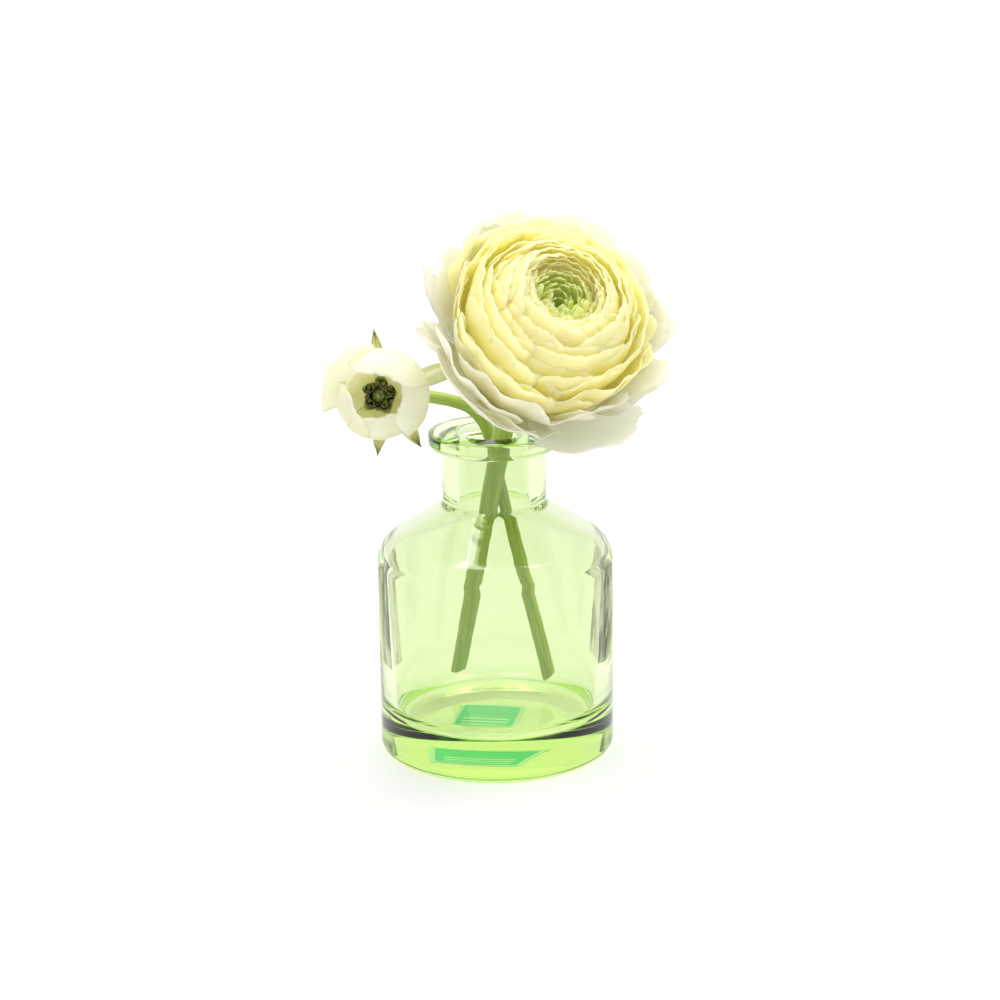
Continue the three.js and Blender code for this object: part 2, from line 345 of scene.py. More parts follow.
GREEN_GLASS = green_glass_finish()
FOOT_LABEL = label_finish()
BLOOM_PETAL = petal_finish("bloom_petal", [
    (0.0, (0.97, 0.965, 0.9)), (0.3, (0.975, 0.96, 0.76)), (0.65, (0.975, 0.945, 0.6)),
    (1.0, (0.95, 0.905, 0.34)),
], (0.95, 0.92, 0.5), 0.68, (0.98, 0.967, 0.69), 0.05)
GUARD_PETAL = petal_finish("bloom_guard_petal", [
    (0.0, (0.95, 0.948, 0.9)), (0.5, (0.955, 0.945, 0.8)), (1.0, (0.95, 0.92, 0.56)),
], (0.91, 0.9, 0.72), 0.58, (0.965, 0.958, 0.87))
HEART_PETAL = petal_finish("heart_petal", [
    (0.0, (0.46, 0.6, 0.06)), (0.45, (0.82, 0.9, 0.26)), (1.0, (0.97, 0.97, 0.64)),
], (0.56, 0.68, 0.1), 0.6, (0.94, 0.98, 0.34), 0.05)
BUD_PETAL = petal_finish("bud_petal", [
    (0.0, (0.98, 0.98, 0.93)), (0.5, (0.965, 0.965, 0.82)), (1.0, (0.9, 0.91, 0.5)),
], (0.94, 0.94, 0.78), 0.64, (0.99, 0.985, 0.88), 0.02)
STEM_SKIN = stem_finish("stem_skin", (0.5, 0.62, 0.14), (0.33, 0.46, 0.07), (0.62, 0.72, 0.26))
SEPAL_SKIN = sepal_finish()
HEART_KNOT = carpel_finish("heart_knot", (0.1, 0.13, 0.02), (0.02, 0.02, 0.005), 900.0)
BUD_BUTTON = carpel_finish("bud_button_beads", (0.5, 0.56, 0.17), (0.14, 0.17, 0.04), 1100.0)
BUD_RING = carpel_finish("bud_anther_ring", (0.3, 0.32, 0.08), (0.1, 0.1, 0.03), 1500.0)
BUD_STAR = carpel_finish("bud_inner_leaf", (0.78, 0.8, 0.36), (0.5, 0.54, 0.18), 700.0)


# ---- Bottle ---------------------------------------------------------------------------------------
BODY_R, SHOULDER_R, SHOULDER_Z = 35, 10.2, 58.3
NECK_R, NECK_Z = 15.3, 76.4
LIP_R, LIP_Z, TOP_Z = 19.2, 93, 98
BORE_R, WALL, SHOULDER_WALL, INNER_CORNER_R = 10.4, 5, 3.2, 6
FLOOR_Z, FLOOR_R, HEEL_H = 12, 24, 6
SHOULDER_THINNING, WALL_WAVE = 1.6, 0.75
LABEL_SIDE, LABEL_TURN, LABEL_AT = 20, -0.2, (-3, 1.5)
ROUND = 144


def arc(x, z, r, start, stop, steps, rz=None):
    """(radius, height) points on an arc, angles in degrees."""
    rz = r if rz is None else rz
    turns = [math.radians(between(start, stop, i / steps)) for i in range(steps + 1)]
    return [(x + r * math.cos(a), z + rz * math.sin(a)) for a in turns]


corner_x = BODY_R - SHOULDER_R
to_neck = (NECK_R - corner_x, NECK_Z - SHOULDER_Z)
cone_angle = math.degrees(math.atan2(to_neck[1], to_neck[0]) - math.acos(SHOULDER_R / math.hypot(*to_neck)))
cone_slope = math.tan(math.radians(90 - cone_angle))
INNER_R = BODY_R - WALL
cone_turn = math.radians(cone_angle)
shoulder_in = (NECK_R - SHOULDER_WALL * math.cos(cone_turn), NECK_Z - SHOULDER_WALL * math.sin(cone_turn))
bore_foot_z = shoulder_in[1] + (shoulder_in[0] - BORE_R) * cone_slope
inner_corner_x = INNER_R - INNER_CORNER_R
inner_corner_r = inner_corner_x + INNER_CORNER_R * math.cos(cone_turn)
inner_corner_top = shoulder_in[1] - (inner_corner_r - shoulder_in[0]) * cone_slope
inner_corner_z = inner_corner_top - INNER_CORNER_R * math.sin(cone_turn)


def spun(name, profile):
    """Turns a profile of (radius, height) round the Z axis into a closed shell."""
    deselect()
    bpy.ops.mesh.primitive_plane_add(size=1)
    piece = bpy.context.object
    piece.name = piece.data.name = name
    piece.data.clear_geometry()
    points = [(r * MM, 0, z * MM) for r, z in profile]
    piece.data.from_pydata(points, [(i, i + 1) for i in range(len(points) - 1)], [])
    pick(piece)
    bpy.ops.object.mode_set(mode="EDIT")
    bpy.ops.mesh.select_all(action="SELECT")
    bpy.ops.mesh.spin(steps=ROUND, angle=2 * math.pi, center=(0, 0, 0), axis=(0, 0, 1))
    bpy.ops.object.mode_set(mode="OBJECT")
    tidy_normals(piece)
    return piece


def fillet(before, corner, after, size):
    """Rounds a profile's corner by size, as a quadratic curve between its two sides."""
    steps = 5

    def toward(target):
        dx, dz = target[0] - corner[0], target[1] - corner[1]
        k = size / math.hypot(dx, dz)
        return corner[0] + dx * k, corner[1] + dz * k
    a, b = toward(before), toward(after)
    curve = []
    for i in range(steps + 1):
        t = i / steps
        first, middle, last = (1 - t) ** 2, 2 * t * (1 - t), t * t
        curve.append(tuple(first * p + middle * q + last * w for p, q, w in zip(a, corner, b)))
    return curve


def thinned(r, z):
    """The inside radius, with the wall a little thinner than the CAD's just inside the shoulder."""
    if r <= 20 or z <= 50:
        return r
    return r + SHOULDER_THINNING * max(0, 1 - abs(z - 60) / 9)


def bottle():
    cone_top = (NECK_R, NECK_Z)
    cone_low = (NECK_R + 6, NECK_Z - 6 * cone_slope)
    outer = [(0, 0.35), (22, 0.35), (26.5, 0.0)]
    outer += arc(BODY_R - 3.8, 3.8, 3.8, -90, 0, 10)
    outer += arc(corner_x, SHOULDER_Z, SHOULDER_R, 0, cone_angle, 14)
    outer += fillet(cone_low, cone_top, (NECK_R, NECK_Z + 6), 1.6)
    outer += fillet((NECK_R, LIP_Z - 4), (NECK_R, LIP_Z), (LIP_R, LIP_Z), 0.7)
    outer += arc(LIP_R - 2.2, LIP_Z + 2.2, 2.2, -90, 0, 8)
    outer += arc(LIP_R - 0.8, TOP_Z - 0.8, 0.8, 0, 90, 6)
    inner = arc(BORE_R + 1.1, TOP_Z - 1.1, 1.1, 90, 180, 6)
    under_bore = (BORE_R + 5, bore_foot_z - 5 * cone_slope)
    inner += fillet((BORE_R, bore_foot_z + 5), (BORE_R, bore_foot_z), under_bore, 1.4)
    inner += arc(inner_corner_x, inner_corner_z, INNER_CORNER_R, cone_angle, 0, 12)
    inner += arc(FLOOR_R, FLOOR_Z + HEEL_H, INNER_R - FLOOR_R, 0, -90, 16, HEEL_H)
    inner += [(12, FLOOR_Z), (0, FLOOR_Z)]
    inner = [(thinned(r, z), z) for r, z in inner]
    piece = spun("glass_bottle", outer + inner)
    for v in piece.data.vertices:
        across, height = math.hypot(v.co.x, v.co.y) / MM, v.co.z / MM
        if 21 < across < INNER_R + 0.1 and 13 < height < 64:
            worn = noise.noise(Vector((v.co.x, v.co.y, v.co.z * 1.4)) * 42) * WALL_WAVE
            k = 1 + worn * min(1, (height - 13) / 10, (64 - height) / 6) / across
            v.co.x, v.co.y = v.co.x * k, v.co.y * k
    smooth(piece)
    piece.visible_shadow = False  # stands in for the light that clear glass lets through
    return finished(piece, "vase", GREEN_GLASS, "green_glass", "bottle")


def foot_label():
    """The sticker under the foot, pressed a hair into the glass as its glue is."""
    deselect()
    bpy.ops.mesh.primitive_cube_add(size=1)
    piece = bpy.context.object
    piece.name = piece.data.name = "foot_sticker"
    for v in piece.data.vertices:
        v.co = Vector((v.co.x * LABEL_SIDE, v.co.y * LABEL_SIDE, (v.co.z + 0.5) * 0.45)) * MM
    flat = piece.data.uv_layers.active.data
    for loop in piece.data.loops:
        p = piece.data.vertices[loop.vertex_index].co / (LABEL_SIDE * MM)
        flat[loop.index].uv = (p.x + 0.5, p.y + 0.5)
    at = Vector((*LABEL_AT, 0)) * MM
    piece.data.transform(Matrix.Translation(at) @ Matrix.Rotation(LABEL_TURN, 4, "Z"))
    smooth(piece, 30)
    return finished(piece, "vase", FOOT_LABEL, "label", "foot_label")


# ---- Flowers' places ------------------------------------------------------------------------------
def flower_frame(at, axis):
    """A matrix whose +Z is the flower's axis and whose +X stays as near level as it can, in metres."""
    z = Vector(axis).normalized()
    x = (Vector((1, 0, 0)) - z * z.x).normalized()
    y = z.cross(x)
    turn = Matrix((x, y, z)).transposed().to_4x4()
    return Matrix.Translation(Vector(at) * MM) @ turn @ Matrix.Scale(MM, 4)


BLOOM_AT, BLOOM_AXIS = Vector((10.9, -6.5, 121.6)), Vector((0.283, -0.674, 0.683)).normalized()
BUD_AT, BUD_AXIS = Vector((-32.4, -4.3, 110.6)), Vector((-0.02, -0.985, 0.17)).normalized()
BLOOM_FRAME = flower_frame(BLOOM_AT, BLOOM_AXIS)
BUD_FRAME = flower_frame(BUD_AT, BUD_AXIS)


# ---- Stems ----------------------------------------------------------------------------------------
BLOOM_STEM = [
    (-12.3, 20.3, 17.2), (-9.5, 16.3, 32), (-5.4, 9.9, 55), (-1.4, 4.2, 76), (0.4, 1.6, 85.5),
    (2.8, -1.4, 97.6), (4.8, 0.6, 105.5), (6.7, 1.2, 111),
    tuple(BLOOM_AT - BLOOM_AXIS * 8.6), tuple(BLOOM_AT - BLOOM_AXIS * 4),
]
BUD_STEM = [
    (16.6, 12.1, 16.8), (13.1, 11, 32), (7.7, 9.3, 55), (2.7, 7.8, 76.5), (0.1, 7.3, 88), (-2.2, 6.7, 97.5),
    (-6.6, 5.4, 103.4), (-12.6, 4.4, 106), (-19, 4.2, 107.4), (-26, 4.6, 108.8), (-31, 3.4, 110),
    tuple(BUD_AT - BUD_AXIS * 3.2), tuple(BUD_AT - BUD_AXIS * 0.5),
]


def through(points, samples):
    """An even row of points on a smooth curve through the given ones (centripetal, as in the CAD)."""
    points = [Vector(p) for p in points]
    ends = [points[0] * 2 - points[1]] + points + [points[-1] * 2 - points[-2]]
    fine = []
    for i in range(len(points) - 1):
        p0, p1, p2, p3 = ends[i:i + 4]
        k1, k2, k3 = [(b - a).length ** 0.5 for a, b in ((p0, p1), (p1, p2), (p2, p3))]
        m1 = ((p1 - p0) / k1 - (p2 - p0) / (k1 + k2) + (p2 - p1) / k2) * k2
        m2 = ((p2 - p1) / k2 - (p3 - p1) / (k2 + k3) + (p3 - p2) / k3) * k2
        for s in range(40):
            t = s / 40
            h = (2 * t ** 3 - 3 * t * t + 1, t ** 3 - 2 * t * t + t, 3 * t * t - 2 * t ** 3, t ** 3 - t * t)
            fine.append(p1 * h[0] + m1 * h[1] + p2 * h[2] + m2 * h[3])
    fine.append(points[-1])
    run = [0.0]
    for a, b in zip(fine, fine[1:]):
        run.append(run[-1] + (b - a).length)
    row, j = [], 0
    for i in range(samples):
        goal = run[-1] * i / (samples - 1)
        while j < len(run) - 2 and run[j + 1] < goal:
            j += 1
        row.append(fine[j].lerp(fine[j + 1], (goal - run[j]) / max(run[j + 1] - run[j], 1e-9)))
    return row, run[-1]


def stem(name, points, radii, body, node, seed):
    """A round stalk with soft ribs and slight swellings, cut on the slant at its foot."""
    row, length = through(points, 170)
    sides = 28
    deselect()
    bpy.ops.mesh.primitive_cylinder_add(vertices=sides, radius=1, depth=1, end_fill_type="NOTHING")
    piece = bpy.context.object
    piece.name = piece.data.name = name
    piece.data.clear_geometry()
    side_way = Vector((0, 1, 0))
    verts, uvs = [], []
    for i, p in enumerate(row):
        t = i / (len(row) - 1)
        ahead = (row[min(i + 1, len(row) - 1)] - row[max(i - 1, 0)]).normalized()
        x = (side_way - ahead * side_way.dot(ahead)).normalized()
        side_way = x
        y = ahead.cross(x)
        grade = radii[0] + (radii[1] - radii[0]) * min(1.0, t * 1.6)
        if t > 0.93:
            grade *= 1 + 0.25 * ((t - 0.93) / 0.07) ** 2
        for s in range(sides):
            a = 2 * math.pi * s / sides
            rib = 0.035 * math.sin(5 * a + seed) * noise.noise(Vector((t * 9, seed, a * 0.2)))
            lump = 0.05 * noise.noise(Vector((t * 26 + seed, math.cos(a), math.sin(a))))
            r = grade * (1 + rib * 2 + lump)
            spot = p + (x * math.cos(a) + y * math.sin(a)) * r
            if i < 3:
                slant = (x * math.cos(a) + y * math.sin(a)).x * radii[0] * 0.55
                spot += ahead * (slant + 0.55 * radii[0]) * (1 - i / 3)
            verts.append(spot * MM)
            uvs.append((s / sides, t * length / 100))
    faces = []
    for i in range(len(row) - 1):
        for s in range(sides):
            n = (s + 1) % sides
            faces.append((i * sides + s, i * sides + n, (i + 1) * sides + n, (i + 1) * sides + s))
    faces.append(tuple(reversed(range(sides))))
    faces.append(tuple(range((len(row) - 1) * sides, len(row) * sides)))
    piece.data.from_pydata(verts, [], faces)
    layer = piece.data.uv_layers.new(name="UVMap")
    for polygon in piece.data.polygons:
        wraps = len(polygon.vertices) == 4 and sides - 1 in [v % sides for v in polygon.vertices]
        for k in polygon.loop_indices:
            v = piece.data.loops[k].vertex_index
            u = uvs[v][0] + (1 if wraps and v % sides == 0 else 0)
            layer.data[k].uv = (u, uvs[v][1])
    smooth(piece, 50)
    return finished(piece, body, STEM_SKIN, "stem", node)


# ---- Petals ---------------------------------------------------------------------------------------
def sheet_of(name, across, along, place, thickness, warmth, grade=None):
    """A thin curved sheet. place gives the point at (-1 to 1 across, 0 to 1 along) in metres."""
    deselect()
    bpy.ops.mesh.primitive_grid_add(x_subdivisions=across, y_subdivisions=along, size=2)
    piece = bpy.context.object
    piece.name = piece.data.name = name
    tone = piece.data.attributes.new("warmth", "FLOAT", "POINT")
    for i, v in enumerate(piece.data.vertices):
        s, u = v.co.x, (v.co.y + 1) / 2
        tone.data[i].value = warmth + (grade(s, u) if grade else 0.0)
        v.co = place(s, u)
    apply_modifier(piece, "SOLIDIFY", thickness=thickness * MM, offset=0.0)
    smooth(piece)
    return piece


def petal(name, home, profile, azimuth, half, seed, warmth, *, tip_cut=0.2, round_off=3.0, lean=0.5,
          ruffle=0.5, waves=3.0, scallop=0.25, curl=0.0, sag=0.0, ragged=0.0, narrow=0.0, crease=0.0,
          thickness=0.22, across=22, along=20, grade=None, bulge=0.5, gaps=0.0):
    """A petal that lies on the cup that profile sweeps round the flower's axis.

    lean tucks one edge inside and lifts the other out, ruffle waves the rim in and out, scallop nicks
    it, curl rolls the side edges, sag bends the middle of the rim, and crease folds it down the middle.
    """
    shift = seed * 7.31

    def place(s, u):
        nick = scallop * noise.noise(Vector((s * waves * 3.1 + shift, 1.7, 0)))
        nick += ragged * abs(noise.noise(Vector((s * 7.0 + shift, 8.1, 0))))
        nick += ragged * 0.5 * abs(noise.noise(Vector((s * 19.0 + shift, 3.1, 0))))
        length = math.dist(profile[0], profile[3]) + 6
        reach = 1 - tip_cut * abs(s) ** round_off - nick / length
        if gaps:
            reach -= gaps * gap_at(azimuth + half * s)
        t = u * reach
        r, z = bezier(profile, t)
        dr, dz = bezier_slope(profile, t)
        k = 1 / math.hypot(dr, dz)
        out_r, out_z = dz * k, -dr * k
        wave = math.sin(s * waves * math.pi + shift) * 0.5
        wave += noise.noise(Vector((s * 2.3 + shift, u * 1.5, 5.0))) * 1.1
        wave += noise.noise(Vector((s * 6.0 + shift, u * 4.0, 9.0))) * 0.35
        off = lean * s * (0.3 + 0.7 * u) + ruffle * wave * u ** 2.5
        off += curl * abs(s) ** 4 * u + sag * (1 - s * s) * u ** 3
        off += crease * (1 - min(1.0, abs(s) * 2.2)) * u * u
        off += bulge * noise.noise(Vector((s * 1.4 + shift, u * 2.2, 2.0))) * math.sin(math.pi * min(u, 1.0))
        r += out_r * off
        z += out_z * off
        a = math.radians(azimuth + half * s * (1 - narrow * u * u))
        return home @ Vector((r * math.cos(a), r * math.sin(a), z))

    return sheet_of(name, across, along, place, thickness, warmth, grade)


# Cups from the green heart out to the guard petals. The second to fourth differ a little from the CAD's.
CUPS = [
    ((2, 8), (5.5, 11), (6.5, 23), (3.6, 27)),
    ((3, 6.5), (11.5, 8.5), (13.4, 27), (8.6, 33.3)),
    ((4, 5), (16.5, 5.5), (17.5, 31), (10.6, 35.6)),
    ((5, 3.5), (20.5, 3), (21.5, 32), (12.8, 36.6)),
    ((6, 2), (22.5, 0.5), (25, 28), (20.5, 32)),
    ((7, 0.5), (23.5, -2), (28, 23), (26, 27.5)),
    ((8, -1), (24, -4.5), (30, 15), (31, 22)),
    ((9, -2.5), (22, -6.5), (32, 9), (36.5, 21)),
]


def cup(level, rng=None, spread=0.0):
    low = min(int(level), len(CUPS) - 2)
    t = level - low
    points = [tuple(between(a, b, t) for a, b in zip(p, q)) for p, q in zip(CUPS[low], CUPS[low + 1])]
    if rng:
        wide, tall = 0.985 + rng.uniform(-spread, spread) * 0.045, rng.uniform(-spread, spread) * 1.1
        points[2] = (points[2][0] * wide, points[2][1] + tall * 0.5)
        points[3] = (points[3][0] * wide + rng.uniform(-spread, spread) * 0.7, points[3][1] + tall)
    return points


# Where the loose outer petals fall short and leave a gap in the outline: azimuth, width, depth.
GAPS = [
    (180, 7, 0.5), (353, 6, 0.17), (326, 6, 0.16), (274, 6, 0.26), (302, 16, 0.08), (140, 6, 0.08),
    (88, 5, 0.06),
]


def gap_at(azimuth):
    return sum(d * math.exp(-(((azimuth - a + 180) % 360 - 180) / w) ** 2) for a, w, d in GAPS)


# name, level, petals, first azimuth, half width in degrees, warmth
WHORLS = [
    ("", 0.8, 7, 10, 36, 0.6), ("inner_a", 1.0, 4, 65, 54, 0.56), ("", 1.35, 5, 30, 46, 0.56),
    ("", 1.7, 5, 75, 45, 0.54), ("inner_b", 2.0, 4, 20, 53, 0.52), ("", 2.35, 5, 50, 45, 0.5),
    ("", 2.7, 5, 10, 44, 0.5), ("ball", 3.0, 4, 65, 52, 0.48), ("", 3.35, 5, 25, 44, 0.5),
    ("", 3.7, 5, 60, 43, 0.52), ("middle_a", 4.0, 4, 10, 51, 0.54), ("", 4.35, 5, 35, 42, 0.54),
    ("", 4.7, 5, 5, 41, 0.52), ("middle_b", 5.0, 4, 55, 49, 0.46), ("", 5.3, 5, 20, 40, 0.42),
    ("", 5.6, 5, 50, 39, 0.36), ("outer", 6.0, 5, 40, 41, 0.26), ("", 6.5, 5, 0, 38, 0.16),
]


def petal_tone(s, u):
    """Yellower low down, paler towards the rim and the edges."""
    return 0.42 * (1 - u) ** 1.3 - 0.16 * u ** 4 - 0.08 * s * s


def guard_tone(s, u):
    return 0.22 * (1 - u) ** 1.3 - 0.12 * u ** 4


def whorl(name, level, count, first, half, warmth, number):
    rng = random.Random(400 + number)
    petals = []
    loose = max(0.0, (level - 3) / 4)
    skin = GUARD_PETAL if level >= 6 else BLOOM_PETAL
    for i in range(count):
        spread = 1.0 + loose
        petals.append(petal(
            f"bloom_petal_{name}_{i + 1}_fine" if name else f"whorl_{number}_petal_{i + 1}",
            BLOOM_FRAME, cup(level, rng, spread),
            first + 360 / count * i + rng.uniform(-9, 9), half * rng.uniform(0.9, 1.08),
            number * 10 + i, warmth + rng.uniform(-0.12, 0.12),
            tip_cut=0.12 + 0.04 * loose, round_off=3.4,
            lean=0.5 + 0.25 * loose, ruffle=0.5 + 0.8 * loose, waves=between(4.5, 2.8, min(1, loose)),
            scallop=1.3 + 1.0 * loose, sag=rng.uniform(-0.3, 0.5),
            curl=rng.uniform(-0.2, 0.6) * (0.4 + loose),
            across=24 + int(8 * loose), along=20, grade=petal_tone, gaps=max(0.0, level - 4.6) * 0.85,
        ))
    if not name:
        piece = joined(petals, f"bloom_whorl_{number}")
        finished(piece, "bloom", skin, "bloom_petal")
        return
    for i, piece in enumerate(petals):
        finished(piece, "bloom", skin, "bloom_petal", f"bloom_petal_{name}_{i + 1}")


# The guard petals hang as they please: azimuth, half width, profile, warmth and ways.
GUARDS = [
    ("right", 10, 27, ((9, -2.5), (22, -6.5), (32, 9), (35.6, 21)), 0.1, dict(curl=0.8, sag=-0.6)),
    ("top", 72, 36, ((9, -2.5), (22, -6.5), (32, 10), (35.8, 22.3)), 0.35, dict(waves=2.6, scallop=2.0)),
    ("left", 164, 25, ((9, -2.5), (22, -6.5), (32, 9), (37.6, 20.5)), 0.05,
     dict(crease=1.6, narrow=0.5, tip_cut=0.55, round_off=1.6)),
    ("down", 232, 37, ((9, -2.5), (22, -6.5), (31, 4), (36.4, 17)), 0.3, dict(curl=-1.2, sag=0.8)),
    ("hanging", 304, 33, ((9, -2.5), (22, -7.5), (32, 0), (39.6, 10.5)), 0.0,
     dict(ragged=2.4, sag=-0.5, ruffle=0.8, waves=2.6, gaps=0.2)),
]
EXTRA_GUARDS = [
    (116, 31, ((9, -2.8), (22, -7), (32, 8), (35.4, 22)), 0.3, dict(waves=2.4, scallop=1.9)),
    (189, 11, ((9, -2.8), (22, -7), (31, 6), (36.8, 17.0)), 0.15,
     dict(curl=-2.4, narrow=0.35, sag=1.4, gaps=0)),
    (256, 28, ((9, -2.8), (22, -7), (29, 2), (33.4, 15)), 0.25, dict(sag=0.8)),
    (338, 20, ((9, -2.8), (22, -7), (31, 5), (37.0, 17)), 0.0, dict(ragged=1.2)),
    (38, 30, ((9, -2.8), (22, -7), (32, 8), (35.2, 21.6)), 0.26, dict(waves=2.2, scallop=1.8)),
]


def guards():
    for k, (side, azimuth, half, profile, warmth, ways) in enumerate(GUARDS):
        settings = dict(tip_cut=0.24, round_off=2.6, lean=0.6, ruffle=1.3, waves=1.8, scallop=1.4, across=36,
                        along=30, grade=guard_tone, bulge=1.0, gaps=0.6)
        settings.update(ways)
        piece = petal(f"bloom_petal_guard_{side}_fine", BLOOM_FRAME, profile, azimuth, half, 700 + k, warmth,
                      **settings)
        finished(piece, "bloom", GUARD_PETAL, "bloom_petal", f"bloom_petal_guard_{side}")
    more = []
    for k, (azimuth, half, profile, warmth, ways) in enumerate(EXTRA_GUARDS):
        settings = dict(tip_cut=0.24, round_off=2.6, lean=0.6, ruffle=1.2, waves=1.8, scallop=1.4, across=34,
                        along=28, grade=guard_tone, bulge=1.0, gaps=0.6)
        settings.update(ways)
        more.append(petal(f"guard_{k}", BLOOM_FRAME, profile, azimuth, half, 720 + k, warmth, **settings))
    finished(joined(more, "bloom_guards_between"), "bloom", GUARD_PETAL, "bloom_petal")


def heart():
    """Small incurved green lobes that crowd the eye, ring within ring, with a dark well in the middle."""
    rng = random.Random(77)
    parts = [[], [], []]
    # radius, top, lobes, half width in degrees, warmth
    rings = [
        (2.1, 29.4, 5, 40, 0.4), (3.5, 30.6, 7, 30, 0.55), (4.9, 31.5, 9, 24, 0.7), (6.2, 32.2, 12, 19, 0.8),
        (7.4, 32.9, 15, 15, 1.0),
    ]
    for k, (radius, top, count, half, warmth) in enumerate(rings):
        for i in range(count):
            height = top + rng.uniform(-1.1, 1.0)
            reach = radius + rng.uniform(-0.8, 0.6)
            low, high = (1.5 + k * 0.5, 9), (reach - 1.0, height)
            profile = (low, (radius + 2.4, 15), (radius + 1.9, height - 1.5), high)
            piece = petal(
                f"lobe_{k}_{i}", BLOOM_FRAME, profile, 360 / count * i + k * 17 + rng.uniform(-14, 14), half,
                900 + k * 20 + i, warmth + rng.uniform(-0.3, 0.25), tip_cut=0.16, round_off=2.0, lean=0.3,
                ruffle=0.4, scallop=0.5, sag=0.5, across=8, along=12, bulge=0.2, thickness=0.35,
                grade=lambda s, u: 0.35 * u ** 5 - 0.4 * (1 - u),
            )
            parts[(i + k) % 3].append(piece)
    for n, lobes in enumerate(parts):
        piece = joined(lobes, f"bloom_heart_lobes_{n + 1}")
        finished(piece, "bloom", HEART_PETAL, "heart_petal", f"bloom_petal_heart_{n + 1}")


def beaded_knob(name, home, profile, beads, bead, body, finish, slot, node, seed):
    """A turned core set with rows of little carpels."""
    rng = random.Random(seed)
    deselect()
    bpy.ops.mesh.primitive_uv_sphere_add(segments=20, ring_count=14, radius=1)
    core = bpy.context.object
    for v in core.data.vertices:
        t = (v.co.z + 1) / 2
        flat = math.hypot(v.co.x, v.co.y)
        r, z = bezier(profile, t)
        k = r / flat if flat > 1e-6 else 0
        v.co = Vector((v.co.x * k, v.co.y * k, z))
    core.data.transform(home)
    parts = [core]
    for i in range(beads):
        t = 0.35 + 0.62 * (i / beads) ** 0.8
        r, z = bezier(profile, t)
        a = i * GOLDEN_TURN
        bpy.ops.mesh.primitive_ico_sphere_add(subdivisions=1, radius=bead * rng.uniform(0.8, 1.15))
        seed_head = bpy.context.object
        seed_head.data.transform(home @ Matrix.Translation((r * math.cos(a), r * math.sin(a), z)))
        parts.append(seed_head)
    piece = joined(parts, name)
    smooth(piece)
    return finished(piece, body, finish, slot, node)


def receptacle(name, home, profile, body, node):
    deselect()
    bpy.ops.mesh.primitive_uv_sphere_add(segments=32, ring_count=20, radius=1)
    piece = bpy.context.object
    piece.name = piece.data.name = name
    for v in piece.data.vertices:
        t = (v.co.z + 1) / 2
        flat = math.hypot(v.co.x, v.co.y)
        r, z = bezier(profile, t)
        cap = math.sqrt(max(0.0, 1 - (2 * t - 1) ** 6))
        k = r * cap / flat if flat > 1e-6 else 0
        v.co = Vector((v.co.x * k, v.co.y * k, z))
    piece.data.transform(home)
    smooth(piece)
    return finished(piece, body, STEM_SKIN, "stem", node)


def bloom_sepals():
    for i in range(5):
        profile = ((6.2, -4.6), (9.0, -7.2), (11.4, -8.0), (12.8, -10.2))
        piece = petal(f"bloom_sepal_{i + 1}_fine", BLOOM_FRAME, profile, 66 + 72 * i, 27, 950 + i, 0.0,
                      tip_cut=0.1, narrow=0.85, ruffle=0.3, scallop=0.2, lean=0.1, across=10, along=14,
                      thickness=0.35, bulge=0.2)
        finished(piece, "bloom", SEPAL_SKIN, "sepal", f"bloom_sepal_{i + 1}")


# ---- Bud ------------------------------------------------------------------------------------------
BUD_PETALS = [
    ("top", 72, 60, ((3, 0.6), (16, 0), (17, 16), (6.6, 20)), 0.0,
     dict(lean=-0.8, tip_cut=0.12, round_off=4)),
    ("right", 350, 46, ((3, 0.6), (17, 0), (18, 16), (7.0, 19.6)), 0.16,
     dict(lean=-0.1, tip_cut=0.06, round_off=5)),
    ("low_right", 276, 54, ((3, 0.6), (15, 0), (15.5, 16), (5.6, 19)), 0.14, dict(lean=-0.3, round_off=4)),
    ("low_left", 208, 48, ((3, 0.6), (14, 0), (15, 15), (7.2, 19.4)), 0.24, dict(lean=0.2, round_off=4)),
    ("left", 146, 50, ((3, 0.6), (14, 0), (17.5, 9), (16.2, 17.2)), 0.22,
     dict(lean=0.5, ruffle=0.9, curl=-0.8)),
]
BUD_SEPALS = [
    ("top", 95, 12, (17.0, 3.0)), ("right", 19, 15, (24.4, 4.2)), ("low_right", 306, 15, (17.6, 3.4)),
    ("low_left", 266, 15, (16.2, 4.2)), ("left", 170, 18, (14.9, 1.0)),
]


